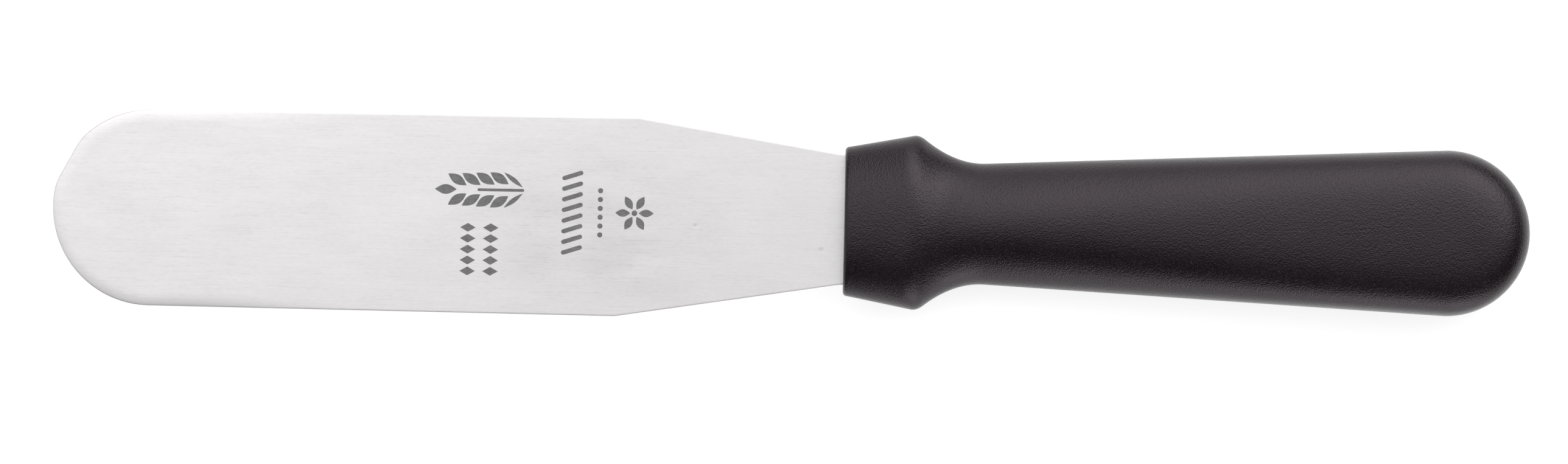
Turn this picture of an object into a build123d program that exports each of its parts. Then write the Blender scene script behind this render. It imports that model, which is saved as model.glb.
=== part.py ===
from build123d import *
import os
from math import acos, cos, degrees, exp, pi, radians, sqrt, tan

# A straight icing spatula: a flat, flexible steel blade with a full-round tip, and a black
# grip moulded round the blade's tang. Millimetres. +X runs from the blade's tip to the butt of
# the grip and +Z is up. The origin is the centre of the footprint, on the surface that the
# spatula lies on.

# Blade, the steel that shows
blade_length = 152.4
blade_thickness = 1.2
tip_radius = 18.9
tip_flat = 18.33             # from the tip's centre to the stretch that is ground flatter
tip_flat_angle = 151.5       # which way that stretch faces, in degrees from +X
tip_flat_round = 12.0
heel_half_width = 19.2       # the long edges open slightly from the tip to the heel corners
taper_angle = 9.1            # each edge turns in by this much from its heel corner to the grip
upper_heel = 39.9            # from the grip to the heel corner on the +Y edge
lower_heel = 43.7            # from the grip to the heel corner on the -Y edge
edge_round = 0.15

# Tang, the steel inside the grip
tang_step = 0.05             # each face of the tang lies this far inside the blade's face
tang_length = 88.0
tang_half_width = 7.5
tang_neck = 18.0             # how far in the tang reaches its own width
tang_corner = 4.0
lock_hole_radius = 3.0       # the plastic runs through these holes and locks the tang
lock_hole_stations = (40.0, 68.0)

# Grip, measured along it from its front face
grip_length = 131.9
front_round = 0.6
ridge = 14.2                 # station of the ridge at the back of the front block
neck = 21.0                  # station where the ridge has fallen to the line of the grip

# Half widths of the grip
front_half_width = 14.26
block_flare = 0.191          # the block widens by this much for each millimetre
shoulder_fall = 0.762
neck_half_width = 11.38
grip_flare = 0.0485
ridge_width_blend = 1.1
neck_width_blend = 4.6

# Half thicknesses of the grip
front_half_thickness = 6.2
block_rise = 0.13
saddle_fall = 0.40
neck_half_thickness = 6.85
grip_rise = 0.009
belly_height = 0.9           # the grip fills out by this much behind the neck, to feel round
belly_length = 13.5
ridge_height_blend = 1.4
neck_height_blend = 1.4

# Squareness of the grip's section: 0.5523 is an ellipse, 1 is nearly a rectangle
block_squareness = 0.65
neck_squareness = 0.55
butt_squareness = 0.815
squareness_change = (11.0, 16.0)    # the stations between which the block's section softens
crown_half_width = 1.5       # both faces are flat this far either side of their middle line


def rounded_min(a, b, blend):
    """The lower of two lines, with the corner between them rounded off."""
    near = max(blend - abs(a - b), 0) / blend
    return min(a, b) - near**2 * blend / 4


def rounded_max(a, b, blend):
    """The higher of two lines, with the corner between them filled in."""
    return -rounded_min(-a, -b, blend)


def front_inset(station):
    """How far the rounded front edge has drawn the section in, a quarter circle."""
    ahead = max(front_round - station, 0)
    return front_round - sqrt(front_round**2 - ahead**2)


def half_width(station):
    """Half the grip's width, a station's distance behind its front face."""
    block = front_half_width + block_flare * station
    shoulder = front_half_width + block_flare * ridge - shoulder_fall * (station - ridge)
    grip = neck_half_width + grip_flare * (station - neck)
    full = rounded_max(rounded_min(block, shoulder, ridge_width_blend), grip, neck_width_blend)
    return full - front_inset(station)


def half_thickness(station):
    """Half the grip's thickness, a station's distance behind its front face."""
    block = front_half_thickness + block_rise * station
    saddle = front_half_thickness + block_rise * ridge - saddle_fall * (station - ridge)
    belly = belly_height * (1 - exp((neck - station) / belly_length))
    grip = neck_half_thickness + grip_rise * (station - neck) + belly
    full = rounded_max(rounded_min(block, saddle, ridge_height_blend), grip, neck_height_blend)
    return full - front_inset(station)


def ease(low, high, start, end, station):
    """A value that goes smoothly from low to high between two stations."""
    t = min(max((station - start) / (end - start), 0), 1)
    return low + (high - low) * (1 - cos(pi * t)) / 2


# The butt is a half turn of the grip's own section, so its centre is one half width from the end.
butt_centre = (grip_length - neck_half_width + grip_flare * neck) / (1 + grip_flare)
butt_half_thickness = half_thickness(butt_centre)

tip_x = -(blade_length + grip_length) / 2
front_x = tip_x + blade_length
mid_z = butt_half_thickness
taper = tan(radians(taper_angle))
tip_centre = (tip_x + tip_radius, 0)
tip_flat_start = tip_flat_angle - degrees(acos(tip_flat / tip_radius))
tip_flat_end = tip_flat_angle + degrees(acos(tip_flat / tip_radius))


def squareness(station):
    """How square the grip's section is at a station."""
    start, end = squareness_change
    if station < end:
        return ease(block_squareness, neck_squareness, start, end, station)
    return ease(neck_squareness, butt_squareness, end, butt_centre, station)


def section_plane(station):
    """The plane of the grip's section at a station, its x along +Y and its y along +Z."""
    return Plane(origin=(front_x + station, 0, mid_z), x_dir=(0, 1, 0), z_dir=(1, 0, 0))


def section_curve(station, side):
    """The rounded part of a section's outline, from its widest point on one side to its crown."""
    width = side * half_width(station)
    crown = side * crown_half_width
    thickness = half_thickness(station)
    square = squareness(station)
    return Bezier(
        (width, 0),
        (width, square * thickness),
        (crown + square * (width - crown), thickness),
        (crown, thickness),
    )


# Blade and tang: one blank, cut from sheet
with BuildPart() as blade:
    with BuildSketch(Plane.XY.offset(mid_z - blade_thickness / 2)):
        with BuildLine():
            upper_tip = CenterArc(tip_centre, tip_radius, 90, tip_flat_start - 90)
            lower_tip = CenterArc(tip_centre, tip_radius, tip_flat_end, 270 - tip_flat_end)
            Line(upper_tip @ 1, lower_tip @ 0)
            Polyline(
                upper_tip @ 0,
                (front_x - upper_heel, heel_half_width),
                (front_x, heel_half_width - upper_heel * taper),
                (front_x, -heel_half_width + lower_heel * taper),
                (front_x - lower_heel, -heel_half_width),
                lower_tip @ 1,
            )
        make_face()
        flat_ends = vertices().filter_by(lambda corner: corner.X < tip_x + tip_radius / 2)
        fillet(flat_ends, tip_flat_round)
    extrude(amount=blade_thickness)
    outline = blade.edges().filter_by(lambda edge: edge.center().X < front_x - 1)
    fillet(outline.filter_by(Plane.XY), edge_round)
    with BuildSketch(Plane.XY.offset(mid_z - blade_thickness / 2 + tang_step)):
        with BuildLine():
            Polyline(
                (front_x, -heel_half_width + lower_heel * taper),
                (front_x + tang_neck, -tang_half_width),
                (front_x + tang_length, -tang_half_width),
                (front_x + tang_length, tang_half_width),
                (front_x + tang_neck, tang_half_width),
                (front_x, heel_half_width - upper_heel * taper),
                close=True,
            )
        make_face()
        tang_end = vertices().group_by(Axis.X)[-1]
        fillet(tang_end, tang_corner)
        with Locations(*[(front_x + station, 0) for station in lock_hole_stations]):
            Circle(lock_hole_radius, mode=Mode.SUBTRACT)
    extrude(amount=blade_thickness - 2 * tang_step)

# Grip: a flared block, a neck, a widening grip and a round butt, moulded round the tang. Its
# upper half is made first, and the lower half is the mirror image.
front_stations = [front_round * (1 - cos(pi * step / 8)) for step in range(4)]
block_stations = [0.8, 3, 6, 9, 11]
ridge_stations = [12 + 0.5 * step for step in range(17)]
neck_stations = [21 + 1.5 * step for step in range(7)]
grip_stations = [32 + (butt_centre - 32) * step / 8 for step in range(9)]
with BuildPart() as handle:
    for station in (
        front_stations + block_stations + ridge_stations + neck_stations + grip_stations
    ):
        with BuildSketch(section_plane(station)):
            with BuildLine():
                right = section_curve(station, 1)
                left = section_curve(station, -1)
                Line(right @ 1, left @ 1)
                Line(left @ 0, right @ 0)
            make_face()
    loft()
    with BuildSketch(section_plane(butt_centre)):
        with BuildLine():
            rounded = section_curve(butt_centre, 1)
            Polyline(rounded @ 1, (0, butt_half_thickness), (0, 0), rounded @ 0)
        make_face()
    revolve(axis=Axis((front_x + butt_centre, 0, mid_z), (0, 0, -1)), revolution_arc=180)
    mirror(about=Plane.XY.offset(mid_z))
    add(blade.part, mode=Mode.SUBTRACT)

os.makedirs("parts", exist_ok=True)
blade.part.label = "blade"
export_step(blade.part, "parts/blade.step")
handle.part.label = "handle"
export_step(handle.part, "parts/handle.step")
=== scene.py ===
import math

import bmesh
import bpy
from mathutils import Matrix, Vector


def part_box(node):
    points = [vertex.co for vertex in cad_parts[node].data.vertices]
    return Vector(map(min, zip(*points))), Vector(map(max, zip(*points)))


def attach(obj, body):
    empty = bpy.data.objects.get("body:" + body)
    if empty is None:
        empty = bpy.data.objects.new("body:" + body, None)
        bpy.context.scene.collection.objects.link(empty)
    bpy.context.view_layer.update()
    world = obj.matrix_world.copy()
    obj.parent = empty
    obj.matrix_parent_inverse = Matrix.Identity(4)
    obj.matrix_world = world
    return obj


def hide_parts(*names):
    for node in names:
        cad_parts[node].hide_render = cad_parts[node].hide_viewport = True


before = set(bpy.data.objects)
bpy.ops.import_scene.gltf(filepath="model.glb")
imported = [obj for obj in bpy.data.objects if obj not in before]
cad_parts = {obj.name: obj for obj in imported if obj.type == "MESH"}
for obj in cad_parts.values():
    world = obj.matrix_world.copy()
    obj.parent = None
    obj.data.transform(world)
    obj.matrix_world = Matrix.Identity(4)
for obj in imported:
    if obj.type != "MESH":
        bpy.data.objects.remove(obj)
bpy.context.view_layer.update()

# A straight icing spatula, seen square to its blade. Metres, in the frame of the CAD model:
# +X from the tip of the blade to the butt of the grip, +Z up.
MM = 0.001

blade_low, blade_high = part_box("blade")
grip_low, grip_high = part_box("handle")
tip_x = blade_low.x
front_x = grip_low.x
butt_x = grip_high.x
mid_z = (grip_low.z + grip_high.z) / 2


# Small mesh helpers

def new_object(name, mesh):
    """A linked object with that mesh."""
    piece = bpy.data.objects.new(name, mesh)
    bpy.context.scene.collection.objects.link(piece)
    return piece


def mesh_from_bmesh(name, build):
    """A mesh made from a bmesh, with its faces turned outwards."""
    bmesh.ops.recalc_face_normals(build, faces=build.faces)
    mesh = bpy.data.meshes.new(name)
    build.to_mesh(mesh)
    build.free()
    return mesh


def bridge(build, loops):
    """Quads between neighbouring closed loops of vertices, all of one length."""
    for near, far in zip(loops, loops[1:]):
        count = len(near)
        for i in range(count):
            j = (i + 1) % count
            build.faces.new((near[i], near[j], far[j], far[i]))


def subtract(piece, cutter):
    """Cuts one solid out of another."""
    modifier = piece.modifiers.new("cut", "BOOLEAN")
    modifier.operation = "DIFFERENCE"
    modifier.solver = "EXACT"
    modifier.object = cutter
    cut = bpy.data.meshes.new_from_object(
        piece.evaluated_get(bpy.context.evaluated_depsgraph_get())
    )
    piece.modifiers.clear()
    piece.data = cut


def smooth(piece, sharp_angle):
    """Smooth shading, with the edges sharper than an angle left crisp."""
    piece.data.shade_smooth()
    piece.data.set_sharp_from_angle(angle=math.radians(sharp_angle))


# Blends of lines and values

def rounded_min(a, b, blend):
    """The lower of two lines, with the corner between them rounded off."""
    near = max(blend - abs(a - b), 0) / blend
    return min(a, b) - near**2 * blend / 4


def rounded_max(a, b, blend):
    """The higher of two lines, with the corner between them filled in."""
    return -rounded_min(-a, -b, blend)


def ease(low, high, start, end, station):
    """A value that goes smoothly from low to high between two stations."""
    t = min(max((station - start) / (end - start), 0), 1)
    return low + (high - low) * (1 - math.cos(math.pi * t)) / 2


# Blade and tang

HEEL_HALF_WIDTH = blade_high.y
TIP_RADIUS = 18.9 * MM
TIP_FLAT = 18.33 * MM          # from the tip's centre to the stretch that is ground flatter
TIP_FLAT_ANGLE = 151.5         # which way that stretch faces, in degrees from +X
TIP_FLAT_BLEND = 0.4 * MM
LEAST_FACING = 0.1             # keeps the flat's line out of the outline on its far side
UPPER_HEEL = 39.9 * MM         # from the grip to the heel corner on the +Y edge
LOWER_HEEL = 43.7 * MM         # from the grip to the heel corner on the -Y edge
TAPER = math.tan(math.radians(9.1))
HEEL_ROUND = 6 * MM
EDGE_ROUND = 0.15 * MM
RIM_WIDTH = 2.6 * MM           # the band inside the edge that polishing has dubbed over
RIM_DROP = 0.09 * MM           # how far its surface falls round the tip
RIM_POWER = 2.5                # how the fall gathers towards the edge
RIM_FADE = (19 * MM, 65 * MM)  # from the tip: where the dubbing starts to fade, and where it ends
RIM_STEPS = 10
EDGE_ROUND_STEPS = 5
TANG_HALF_WIDTH = 7.5 * MM
TANG_NECK = 18 * MM
TANG_CORNER = 4 * MM
LOCK_HOLE_RADIUS = 3 * MM
LOCK_HOLES = (40 * MM, 68 * MM)
TIP_STEPS = 128
EDGE_STEPS = 16                # how many lengths each long edge is cut into
HEEL_STEPS = 6
TANG_STEPS = 8


def arc(centre, radius, start, end, steps):
    """Points along an arc, its angles in degrees."""
    points = []
    for step in range(steps + 1):
        angle = math.radians(start + (end - start) * step / steps)
        points.append(centre + radius * Vector((math.cos(angle), math.sin(angle))))
    return points


def tip_outline():
    """The round tip from its +Y side to its -Y side, with its one flatter stretch."""
    points = []
    for step in range(TIP_STEPS + 1):
        angle = math.radians(90 + 180 * step / TIP_STEPS)
        facing = max(math.cos(angle - math.radians(TIP_FLAT_ANGLE)), LEAST_FACING)
        radius = rounded_min(TIP_RADIUS, TIP_FLAT / facing, TIP_FLAT_BLEND)
        along = Vector((math.cos(angle), math.sin(angle)))
        points.append(Vector((tip_x + TIP_RADIUS, 0)) + radius * along)
    return points


def straight(start, end):
    """The points that cut a long edge into short lengths, its ends left out."""
    return [start.lerp(end, step / EDGE_STEPS) for step in range(1, EDGE_STEPS)]


def rounded_corner(before, corner, after, radius, steps):
    """The arc that rounds a corner between two straight edges."""
    to_before = (before - corner).normalized()
    to_after = (after - corner).normalized()
    half = to_before.angle(to_after) / 2
    middle = (to_before + to_after).normalized()
    centre = corner + middle * radius / math.sin(half)
    start = corner + to_before * radius / math.tan(half) - centre
    end = corner + to_after * radius / math.tan(half) - centre
    turn = start.angle_signed(end)
    points = []
    for step in range(steps + 1):
        points.append(centre + Matrix.Rotation(-turn * step / steps, 2) @ start)
    return points


def blade_outline():
    """The outline of the blade and tang, anticlockwise from the -Y end of the round tip."""
    upper_neck = HEEL_HALF_WIDTH - UPPER_HEEL * TAPER
    lower_neck = -HEEL_HALF_WIDTH + LOWER_HEEL * TAPER
    tang_end = blade_high.x
    lower_tip = Vector((tip_x + TIP_RADIUS, -TIP_RADIUS))
    upper_tip = Vector((tip_x + TIP_RADIUS, TIP_RADIUS))
    lower_heel = Vector((front_x - LOWER_HEEL, -HEEL_HALF_WIDTH))
    upper_heel = Vector((front_x - UPPER_HEEL, HEEL_HALF_WIDTH))
    lower_front = Vector((front_x, lower_neck))
    upper_front = Vector((front_x, upper_neck))
    tang_middle = Vector((tang_end - TANG_CORNER, 0))
    tang_side = Vector((0, TANG_HALF_WIDTH - TANG_CORNER))
    points = straight(lower_tip, lower_heel)
    points += rounded_corner(lower_tip, lower_heel, lower_front, HEEL_ROUND, HEEL_STEPS)
    points += [lower_front, Vector((front_x + TANG_NECK, -TANG_HALF_WIDTH))]
    points += arc(tang_middle - tang_side, TANG_CORNER, -90, 0, TANG_STEPS)
    points += arc(tang_middle + tang_side, TANG_CORNER, 0, 90, TANG_STEPS)
    points += [Vector((front_x + TANG_NECK, TANG_HALF_WIDTH)), upper_front]
    points += rounded_corner(upper_front, upper_heel, upper_tip, HEEL_ROUND, HEEL_STEPS)
    points += straight(upper_heel, upper_tip)
    points += tip_outline()
    return points


def inset(points, distance):
    """A closed outline moved inwards by a distance."""
    moved = []
    for before, here, after in zip(points[-1:] + points[:-1], points, points[1:] + points[:1]):
        first = (here - before).normalized()
        second = (after - here).normalized()
        left = Vector((-first.y - second.y, first.x + second.x)).normalized()
        spread = max(left.dot(Vector((-first.y, first.x))), 0.5)
        moved.append(here + left * distance / spread)
    return moved


def rim_drop(x):
    """How far the rim falls at a place along the blade: most round the tip."""
    start, end = RIM_FADE
    return ease(RIM_DROP, 0, tip_x + start, tip_x + end, x)


def rim_rings():
    """The (inset, share of the drop, fall of the rounded edge) of each ring, going outwards."""
    rings = []
    for step in range(RIM_STEPS + 1):
        along = step / RIM_STEPS
        rings.append((RIM_WIDTH + (EDGE_ROUND - RIM_WIDTH) * along, along**RIM_POWER, 0))
    for step in range(1, EDGE_ROUND_STEPS + 1):
        angle = math.pi / 2 * step / EDGE_ROUND_STEPS
        rings.append(
            (EDGE_ROUND * (1 - math.sin(angle)), 1, EDGE_ROUND * (1 - math.cos(angle)))
        )
    return rings


def make_blade():
    """The sheet with its dubbed rim and rounded edge, and the tang with its two holes."""
    outline = blade_outline()
    half = (blade_high.z - blade_low.z) / 2
    middle = (blade_high.z + blade_low.z) / 2
    rings = rim_rings()
    build = bmesh.new()
    loops = []
    for face, face_rings in ((1, rings), (-1, rings[::-1])):
        for distance, share, fall in face_rings:
            loop = []
            for p in inset(outline, distance):
                height = half - share * rim_drop(p.x) - fall
                loop.append(build.verts.new((p.x, p.y, middle + face * height)))
            loops.append(loop)
    bridge(build, loops)
    build.faces.new(loops[0])
    build.faces.new(loops[-1])
    blade = new_object("spatula_blade", mesh_from_bmesh("spatula_blade", build))
    for station in LOCK_HOLES:
        hole = bmesh.new()
        bmesh.ops.create_cone(
            hole,
            cap_ends=True,
            segments=48,
            radius1=LOCK_HOLE_RADIUS,
            radius2=LOCK_HOLE_RADIUS,
            depth=8 * half,
            matrix=Matrix.Translation((front_x + station, 0, middle)),
        )
        cutter = new_object("hole_cutter", mesh_from_bmesh("hole_cutter", hole))
        subtract(blade, cutter)
        bpy.data.objects.remove(cutter)
    smooth(blade, 40)
    return blade


# Grip: the same stations and rules as the CAD model, in millimetres from its front face. Its
# faces are round right to their middle line, where the CAD model has a narrow flat.

RIDGE = 14.2
NECK = 21.0
GRIP_LENGTH = (butt_x - front_x) / MM
FRONT_ROUND = 0.6
FRONT_HALF_WIDTH = 14.26
BLOCK_FLARE = 0.191
SHOULDER_FALL = 0.762
NECK_HALF_WIDTH = 11.38
GRIP_FLARE = 0.0485
RIDGE_WIDTH_BLEND = 1.1
NECK_WIDTH_BLEND = 4.6
FRONT_HALF_THICKNESS = 6.2
BLOCK_RISE = 0.13
SADDLE_FALL = 0.40
NECK_HALF_THICKNESS = 6.85
GRIP_RISE = 0.009
BELLY_HEIGHT = 0.9
BELLY_LENGTH = 13.5
RIDGE_HEIGHT_BLEND = 1.4
NECK_HEIGHT_BLEND = 1.4
BLOCK_SQUARENESS = 0.65
NECK_SQUARENESS = 0.55
BUTT_SQUARENESS = 0.815
SQUARENESS_CHANGE = (11.0, 16.0)
BUTT_CENTRE = (GRIP_LENGTH - NECK_HALF_WIDTH + GRIP_FLARE * NECK) / (1 + GRIP_FLARE)
QUARTER_STEPS = 32
BUTT_STEPS = 72


def front_inset(station):
    """How far the rounded front edge has drawn the section in, a quarter circle."""
    ahead = max(FRONT_ROUND - station, 0)
    return FRONT_ROUND - math.sqrt(FRONT_ROUND**2 - ahead**2)


def half_width(station):
    """Half the grip's width at a station."""
    block = FRONT_HALF_WIDTH + BLOCK_FLARE * station
    shoulder = FRONT_HALF_WIDTH + BLOCK_FLARE * RIDGE - SHOULDER_FALL * (station - RIDGE)
    grip = NECK_HALF_WIDTH + GRIP_FLARE * (station - NECK)
    full = rounded_max(rounded_min(block, shoulder, RIDGE_WIDTH_BLEND), grip, NECK_WIDTH_BLEND)
    return full - front_inset(station)


def half_thickness(station):
    """Half the grip's thickness at a station."""
    block = FRONT_HALF_THICKNESS + BLOCK_RISE * station
    saddle = FRONT_HALF_THICKNESS + BLOCK_RISE * RIDGE - SADDLE_FALL * (station - RIDGE)
    belly = BELLY_HEIGHT * (1 - math.exp((NECK - station) / BELLY_LENGTH))
    grip = NECK_HALF_THICKNESS + GRIP_RISE * (station - NECK) + belly
    full = rounded_max(rounded_min(block, saddle, RIDGE_HEIGHT_BLEND), grip, NECK_HEIGHT_BLEND)
    return full - front_inset(station)


def squareness(station):
    """How square the section is at a station: 0.5523 is an ellipse, 1 nearly a rectangle."""
    start, end = SQUARENESS_CHANGE
    if station < end:
        return ease(BLOCK_SQUARENESS, NECK_SQUARENESS, start, end, station)
    return ease(NECK_SQUARENESS, BUTT_SQUARENESS, end, BUTT_CENTRE, station)


def quarter(station):
    """A quarter of the section's outline, from its widest point to its top, in millimetres."""
    width, thickness, square = half_width(station), half_thickness(station), squareness(station)
    points = []
    for step in range(QUARTER_STEPS + 1):
        t = step / QUARTER_STEPS
        u = 1 - t
        across = width * (u**3 + 3 * u**2 * t + 3 * u * t**2 * square)
        up = thickness * (3 * u**2 * t * square + 3 * u * t**2 + t**3)
        points.append((across, up))
    return points


def ring(station):
    """The whole outline of the section at a station, anticlockwise from its +Y side."""
    first = quarter(station)
    second = [(-y, z) for y, z in reversed(first)]
    upper = first[:-1] + second[:-1]
    return upper + [(-y, -z) for y, z in upper]


def grip_point(station, across, up):
    """A point of the grip in the frame, from its millimetres."""
    return (front_x + station * MM, across * MM, mid_z + up * MM)


def grip_stations():
    """Where the rings lie: close together round the front edge, the ridge and the neck."""
    stations = [FRONT_ROUND * (1 - math.cos(math.pi / 2 * step / 8)) for step in range(8)]
    spans = ((FRONT_ROUND, 11, 20), (11, 18, 35), (18, 32, 35), (32, BUTT_CENTRE, 90))
    for start, end, count in spans:
        stations += [start + (end - start) * step / count for step in range(count)]
    return stations + [BUTT_CENTRE]


def make_grip(blade):
    """The moulding: rings from the front face to the butt's centre, and a half-turned butt."""
    build = bmesh.new()
    loops = []
    for station in grip_stations():
        loops.append(
            [build.verts.new(grip_point(station, y, z)) for y, z in ring(station)]
        )
    bridge(build, loops)
    build.faces.new(loops[0])
    # The butt: the +Y half of the last ring swept round to the -Y half through the end
    section = quarter(BUTT_CENTRE)
    profile = [(y, -z) for y, z in reversed(section[1:])] + section
    rows = []
    for step in range(BUTT_STEPS + 1):
        angle = math.pi * step / BUTT_STEPS
        rows.append(
            [
                build.verts.new(
                    grip_point(BUTT_CENTRE + r * math.sin(angle), r * math.cos(angle), z)
                )
                for r, z in profile
            ]
        )
    for near, far in zip(rows, rows[1:]):
        for i in range(len(profile) - 1):
            build.faces.new((near[i], near[i + 1], far[i + 1], far[i]))
    bmesh.ops.remove_doubles(build, verts=build.verts, dist=1e-6)
    grip = new_object("spatula_grip", mesh_from_bmesh("spatula_grip", build))
    subtract(grip, blade)
    smooth(grip, 40)
    return grip


# Etched marks: plain ornaments with no lettering. Upright, they point at the tip of the blade.

ETCH_HEIGHT = 0.015 * MM
ETCH_DEPTH = 0.010 * MM


def turned(points, centre, angle):
    """Flat points turned by an angle in degrees, then put at a centre."""
    turn = Matrix.Rotation(math.radians(angle), 2)
    return [centre + turn @ point for point in points]


def leaf(length, width):
    """A pointed oval along X, centred."""
    points = []
    for side in (1, -1):
        for step in range(10):
            t = step / 10
            across = width / 2 * math.sin(math.pi * t)
            points.append(Vector((side * (t - 0.5) * length, -side * across)))
    return points


def bar(length, width):
    """A bar along X with round ends, centred."""
    end = Vector(((length - width) / 2, 0))
    return arc(end, width / 2, -90, 90, 8) + arc(-end, width / 2, 90, 270, 8)


def lozenge(length, width):
    """A diamond, centred."""
    return [
        Vector((length / 2, 0)),
        Vector((0, width / 2)),
        Vector((-length / 2, 0)),
        Vector((0, -width / 2)),
    ]


def on_blade(from_grip, across):
    """A place on the blade, in millimetres from the grip and from the middle line."""
    return Vector((front_x - from_grip * MM, across * MM))


def wheat_ear():
    """A stalk with pairs of grains, one grain at its top and two leaves."""
    pairs = 4
    pitch = 2.7
    middle = on_blade(70.2, 4.7)
    up = Vector((-MM, 0))
    side = Vector((0, MM))
    stalk = turned(bar(9.0 * MM, 0.55 * MM), middle - 4.0 * up, 0)
    top_grain = turned(leaf(4.2 * MM, 1.9 * MM), middle + 6.6 * up, 0)
    outlines = [stalk, top_grain]
    for pair in range(pairs):
        for hand in (1, -1):
            centre = middle + (4.4 - pitch * pair) * up + hand * (1.9 + 0.12 * pair) * side
            outlines.append(turned(leaf(4.2 * MM, 1.8 * MM), centre, -hand * 32))
    # Two narrow leaves at the foot of the ear
    for hand in (1, -1):
        centre = middle - 6.4 * up + hand * 2.0 * side
        outlines.append(turned(leaf(4.6 * MM, 0.9 * MM), centre, -hand * 38))
    return outlines


def lozenge_rows():
    """Two short rows of lozenges beside the ear's foot."""
    count = 5
    pitch = 2.1
    outlines = []
    for from_grip in (72.4, 68.0):
        for i in range(count):
            centre = on_blade(from_grip, -2.6 - pitch * i)
            outlines.append(turned(lozenge(3.0 * MM, 1.7 * MM), centre, 0))
    return outlines


def hatching():
    """A row of leaning bars across the blade."""
    count = 8
    pitch = 2.05
    return [
        turned(bar(4.2 * MM, 0.85 * MM), on_blade(52.4, 0.6 + (i - (count - 1) / 2) * pitch), 18)
        for i in range(count)
    ]


def dot_row():
    """A row of small dots."""
    count = 6
    pitch = 1.7
    return [
        arc(on_blade(47.0, 0.7 + (i - (count - 1) / 2) * pitch), 0.5 * MM, 0, 345, 23)
        for i in range(count)
    ]


def rosette():
    """Six petals round a small middle."""
    middle = on_blade(40.4, 0.75)
    outlines = [arc(middle, 0.55 * MM, 0, 345, 23)]
    for petal in range(6):
        angle = 60 * petal
        reach = Matrix.Rotation(math.radians(angle), 2) @ Vector((2.25 * MM, 0))
        outlines.append(turned(leaf(2.9 * MM, 1.45 * MM), middle + reach, angle))
    return outlines


def etched(name, outlines):
    """Thin prisms on the blade's upper face, one for each outline."""
    build = bmesh.new()
    for outline in outlines:
        low = [build.verts.new((p.x, p.y, blade_high.z - ETCH_DEPTH)) for p in outline]
        high = [build.verts.new((p.x, p.y, blade_high.z + ETCH_HEIGHT)) for p in outline]
        bridge(build, [low, high])
        build.faces.new(low)
        build.faces.new(high)
    return new_object(name, mesh_from_bmesh(name, build))


blade = make_blade()
grip = make_grip(blade)
marks = [
    etched("etched_wheat_ear", wheat_ear()),
    etched("etched_lozenges", lozenge_rows()),
    etched("etched_hatching", hatching()),
    etched("etched_dots", dot_row()),
    etched("etched_rosette", rosette()),
]

for piece, node_name, slot in ((blade, "blade", "steel"), (grip, "handle", "black_plastic")):
    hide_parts(node_name)
    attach(piece, "root")
for piece in marks:
    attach(piece, "root")


# Camera: square to the blade, with the long axis turned a little clockwise in the picture

FRAME_WIDTH = 302.1 * MM       # what the picture takes in at the height of the blade
VIEW_CENTRE = Vector((front_x - 11.54 * MM, -2.29 * MM, mid_z))
ROLL = 0.02                    # radians
FOCAL_LENGTH = 100
SENSOR_WIDTH = 36

camera_data = bpy.data.cameras.new("camera")
camera_data.lens = FOCAL_LENGTH
camera_data.sensor_width = SENSOR_WIDTH
camera_data.sensor_fit = "HORIZONTAL"
camera = new_object("camera", camera_data)
distance = FRAME_WIDTH * FOCAL_LENGTH / SENSOR_WIDTH
camera.location = VIEW_CENTRE + Vector((0, 0, distance))
camera.rotation_euler = (0, 0, ROLL)
bpy.context.scene.camera = camera
bpy.context.scene.view_settings.view_transform = "Standard"

# Stage
FLOOR_RADIUS = 8
FLOOR_GAP = 0.3 * MM           # keeps the floor clear of the grip's lowest line

floor_build = bmesh.new()
bmesh.ops.create_circle(floor_build, cap_ends=True, radius=FLOOR_RADIUS, segments=96)
floor = new_object("floor", mesh_from_bmesh("floor", floor_build))
floor.location.z = -FLOOR_GAP


# Node helpers

def material(name):
    """An empty node material and its Principled shader."""
    made = bpy.data.materials.new(name)
    made.use_nodes = True
    shader = made.node_tree.nodes["Principled BSDF"]
    return made, made.node_tree, shader


def node(tree, kind, inputs=None, **settings):
    """A node with its settings, and its inputs linked or set."""
    made = tree.nodes.new(kind)
    for key, value in settings.items():
        setattr(made, key, value)
    for key, value in (inputs or {}).items():
        if isinstance(value, bpy.types.NodeSocket):
            tree.links.new(value, made.inputs[key])
        else:
            made.inputs[key].default_value = value
    return made


def scaled(tree, place, scale, turn=0.0):
    """The object's coordinates turned about Z, then scaled, so that a texture can be stretched."""
    return node(
        tree, "ShaderNodeMapping", {"Vector": place, "Rotation": (0, 0, turn), "Scale": scale}
    ).outputs["Vector"]


def noise(tree, vector, detail=2.0, rough=0.5):
    """A noise texture, from 0 to 1."""
    inputs = {"Vector": vector, "Scale": 1.0, "Detail": detail, "Roughness": rough}
    return node(tree, "ShaderNodeTexNoise", inputs).outputs["Fac"]


def remap(tree, value, low, high, out_low, out_high):
    """A value taken from one range to another, and held inside it."""
    inputs = {
        "Value": value, "From Min": low, "From Max": high, "To Min": out_low, "To Max": out_high
    }
    return node(tree, "ShaderNodeMapRange", inputs).outputs["Result"]


def ramp(tree, value, low, high, top):
    """A smooth rise from 0 to a top value as a value goes from low to high."""
    inputs = {"Value": value, "From Min": low, "From Max": high, "To Min": 0.0, "To Max": top}
    return node(
        tree, "ShaderNodeMapRange", inputs, interpolation_type="SMOOTHSTEP"
    ).outputs["Result"]


def add(tree, a, b):
    """The sum of two values."""
    return node(tree, "ShaderNodeMath", {0: a, 1: b}, operation="ADD").outputs[0]


def times(tree, a, b):
    """The product of two values."""
    return node(tree, "ShaderNodeMath", {0: a, 1: b}, operation="MULTIPLY").outputs[0]


def blend(tree, factor, low, high):
    """A colour between two, by a factor."""
    return node(
        tree, "ShaderNodeMix", {0: factor, 6: (*low, 1), 7: (*high, 1)}, data_type="RGBA"
    ).outputs[2]


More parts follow.
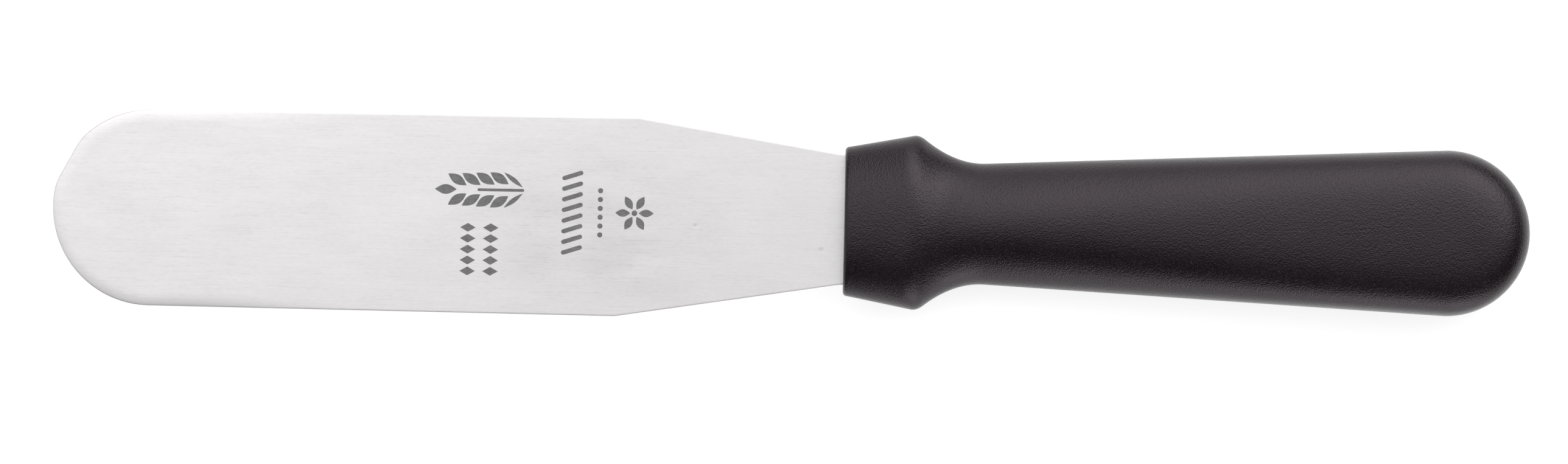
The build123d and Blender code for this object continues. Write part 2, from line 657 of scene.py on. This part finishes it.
def bumped(tree, height, depth):
    """The surface's normal, bent by a height, one unit of which is a depth in metres."""
    inputs = {"Height": height, "Strength": 1.0, "Distance": depth}
    return node(tree, "ShaderNodeBump", inputs).outputs["Normal"]


def patch(tree, place, centre, radii):
    """A soft elliptical mask in plan: 1 in the middle, 0 from its rim outwards."""
    off = node(
        tree, "ShaderNodeVectorMath", {0: place, 1: (*centre, 0)}, operation="SUBTRACT"
    ).outputs[0]
    squeezed = node(
        tree, "ShaderNodeVectorMath", {0: off, 1: (1 / radii[0], 1 / radii[1], 0)},
        operation="MULTIPLY",
    ).outputs[0]
    reach = node(tree, "ShaderNodeVectorMath", {0: squeezed}, operation="LENGTH").outputs["Value"]
    return ramp(tree, reach, 1.0, 0.0, 1.0)


# How the steel was ground and worn. A centre is a place on the blade, its X and Y.
SCRATCH_DEPTH = 0.002 * MM
DULL_CENTRE = (front_x - 48 * MM, -4 * MM)
DULL_RADII = (36 * MM, 24 * MM)
PITS = (
    # centre, radii
    ((front_x - 28.6 * MM, -1.4 * MM), (0.7 * MM, 0.6 * MM)),
    ((front_x - 4.3 * MM, -5.6 * MM), (0.8 * MM, 0.7 * MM)),
)


def steel_finish():
    """Stainless steel ground along its length: fine streaks, clouds, a duller patch, two pits."""
    made, tree, shader = material("ground_steel")
    place = node(tree, "ShaderNodeTexCoord").outputs["Object"]
    fine = noise(tree, scaled(tree, place, (900, 4600, 4600)), 2.0, 0.6)
    streaks = noise(tree, scaled(tree, place, (90, 3600, 3600), 0.004), 2.0)
    clouds = noise(tree, scaled(tree, place, (75, 190, 190)), 3.0)
    grain = add(tree, times(tree, fine, 0.5), times(tree, streaks, 0.5))
    dull = patch(tree, place, DULL_CENTRE, DULL_RADII)
    dull = times(tree, dull, remap(tree, clouds, 0.35, 0.6, 1.0, 0.5))
    pits = add(tree, *[patch(tree, place, centre, radii) for centre, radii in PITS])
    # Only the lowest part of the grain reads as a scratch, and it reads most in the dull patch
    depth = add(tree, 0.35, times(tree, dull, 0.65))
    scratched = times(tree, remap(tree, grain, 0.45, 0.30, 0, 1), depth)
    # Colour: 0 is the darker steel and 1 the brighter
    shade = add(tree, remap(tree, clouds, 0.3, 0.7, 0.50, 0.60), times(tree, dull, -0.20))
    shade = add(tree, shade, times(tree, scratched, -0.32))
    shade = add(tree, shade, remap(tree, fine, 0.3, 0.7, -0.05, 0.05))
    shade = add(tree, shade, remap(tree, streaks, 0.3, 0.7, -0.03, 0.03))
    shade = add(tree, shade, times(tree, pits, -0.3))
    colour = blend(tree, shade, (0.62, 0.605, 0.612), (0.94, 0.925, 0.932))
    tree.links.new(colour, shader.inputs["Base Color"])
    rough = add(tree, remap(tree, grain, 0.3, 0.7, 0.37, 0.31), times(tree, dull, 0.05))
    tree.links.new(rough, shader.inputs["Roughness"])
    height = add(tree, grain, times(tree, pits, -6.0))
    tree.links.new(bumped(tree, height, SCRATCH_DEPTH), shader.inputs["Normal"])
    shader.inputs["Metallic"].default_value = 1
    shader.inputs["Anisotropic"].default_value = 0.6
    across = node(tree, "ShaderNodeTangent", direction_type="UV_MAP", uv_map="grain")
    tree.links.new(across.outputs["Tangent"], shader.inputs["Tangent"])
    return made


def etched_finish():
    """The dull grey of an etched mark, with the grain of the steel showing through."""
    made, tree, shader = material("etched_grey")
    place = node(tree, "ShaderNodeTexCoord").outputs["Object"]
    streaks = noise(tree, scaled(tree, place, (600, 4200, 4200)), 2.0)
    blots = noise(tree, scaled(tree, place, (1500, 1500, 1500)), 2.0)
    mixed = add(tree, times(tree, streaks, 0.6), times(tree, blots, 0.4))
    factor = remap(tree, mixed, 0.35, 0.65, 0, 1)
    colour = blend(tree, factor, (0.15, 0.148, 0.148), (0.23, 0.227, 0.228))
    tree.links.new(colour, shader.inputs["Base Color"])
    tree.links.new(remap(tree, mixed, 0.3, 0.7, 0.5, 0.65), shader.inputs["Roughness"])
    tree.links.new(bumped(tree, mixed, 0.004 * MM), shader.inputs["Normal"])
    return made


SKIN_DEPTH = 0.072 * MM        # how deep the plastic's wrinkles can be


def plastic_finish():
    """Black moulded plastic with a fine wrinkled skin."""
    made, tree, shader = material("black_plastic")
    place = node(tree, "ShaderNodeTexCoord").outputs["Object"]
    wrinkle = noise(tree, scaled(tree, place, (3900, 3900, 3900)), 1.0, 0.5)
    specks = noise(tree, scaled(tree, place, (7200, 7200, 7200)), 1.0, 0.5)
    pebbles = noise(tree, scaled(tree, place, (2100, 2100, 2100)), 1.0, 0.5)
    height = add(tree, wrinkle, add(tree, times(tree, specks, 0.3), times(tree, pebbles, 0.5)))
    tree.links.new(bumped(tree, height, SKIN_DEPTH), shader.inputs["Normal"])
    patches = noise(tree, scaled(tree, place, (90, 90, 90)), 3.0)
    factor = remap(tree, patches, 0.35, 0.65, 0, 1)
    colour = blend(tree, factor, (0.0070, 0.0045, 0.0060), (0.0095, 0.0065, 0.0082))
    tree.links.new(colour, shader.inputs["Base Color"])
    tree.links.new(remap(tree, specks, 0.3, 0.7, 0.30, 0.18), shader.inputs["Roughness"])
    shader.inputs["Specular Tint"].default_value = (1.0, 0.89, 0.97, 1)
    return made


def floor_finish():
    """A matt white sheet that glows a little, so that it stays white under the soft boxes."""
    made, tree, shader = material("floor_white")
    shader.inputs["Base Color"].default_value = (0.45, 0.45, 0.45, 1)
    shader.inputs["Roughness"].default_value = 0.9
    shader.inputs["Specular IOR Level"].default_value = 0.1
    shader.inputs["Emission Color"].default_value = (1, 1, 1, 1)
    shader.inputs["Emission Strength"].default_value = 0.8
    return made


GRAIN_MAP_SIZE = 0.3           # metres of blade to one unit of the map


def grain_map(piece):
    """A flat UV map whose U runs across the blade, for the direction of the brushed highlight."""
    layer = piece.data.uv_layers.new(name="grain")
    for loop in piece.data.loops:
        point = piece.data.vertices[loop.vertex_index].co
        layer.data[loop.index].uv = (point.y / GRAIN_MAP_SIZE, point.x / GRAIN_MAP_SIZE)


grain_map(blade)
blade.data.materials.append(steel_finish())
grip.data.materials.append(plastic_finish())
etched_grey = etched_finish()
for piece in marks:
    piece.data.materials.append(etched_grey)
floor.data.materials.append(floor_finish())


# World: white to the camera, and soft boxes of light to everything else

LIGHTS = (
    # azimuth from +X, angle from the zenith, half angle in degrees, radiance at the middle
    (120, 22, 30, 1.54),       # overhead, towards the far side of the blade
    (180, 22, 30, 0.4),        # overhead, towards the tip
    (0, 22, 30, 0.4),          # overhead, towards the butt
    (36, 44, 30, 2.3),         # the large box past the far side of the grip, its end by the butt
    (72, 44, 30, 1.3),         # the middle of that box
    (90, 66, 30, 1.2),         # its lower edge
    (180, 75, 50, 0.8),        # a pale wall ahead of the tip
    (270, 70, 30, 0.5),        # a weak box in front
    (290, 78, 30, 2.0),        # the low box in front of the grip
)
HORIZON = (0.35, 0.05)         # heights on the unit sphere where the glow starts and is full
HORIZON_RADIANCE = 0.2


def soft_box(tree, direction, azimuth, polar, reach, radiance):
    """A round soft light in the sky: brightest in its middle, nothing beyond its reach."""
    tilt = math.radians(polar)
    axis = Vector((math.sin(tilt), 0, math.cos(tilt)))
    axis.rotate(Matrix.Rotation(math.radians(azimuth), 3, "Z"))
    along = node(
        tree, "ShaderNodeVectorMath", {0: direction, 1: axis}, operation="DOT_PRODUCT"
    ).outputs["Value"]
    return ramp(tree, along, math.cos(math.radians(reach)), 1.0, radiance)


def studio():
    """The world: the soft boxes and a glow along the horizon, behind a white backdrop."""
    world = bpy.data.worlds.new("studio")
    world.use_nodes = True
    tree = world.node_tree
    tree.nodes.clear()
    direction = node(tree, "ShaderNodeTexCoord").outputs["Generated"]
    height = node(tree, "ShaderNodeSeparateXYZ", {"Vector": direction}).outputs["Z"]
    total = ramp(tree, height, *HORIZON, HORIZON_RADIANCE)
    for light in LIGHTS:
        total = add(tree, total, soft_box(tree, direction, *light))
    lighting = node(tree, "ShaderNodeBackground", {"Color": (1, 1, 1, 1), "Strength": total})
    backdrop = node(tree, "ShaderNodeBackground", {"Color": (1, 1, 1, 1), "Strength": 1.0})
    seen = node(tree, "ShaderNodeLightPath").outputs["Is Camera Ray"]
    mixed = node(
        tree,
        "ShaderNodeMixShader",
        {0: seen, 1: lighting.outputs[0], 2: backdrop.outputs[0]},
    )
    node(tree, "ShaderNodeOutputWorld", {"Surface": mixed.outputs[0]})
    return world


bpy.context.scene.world = studio()
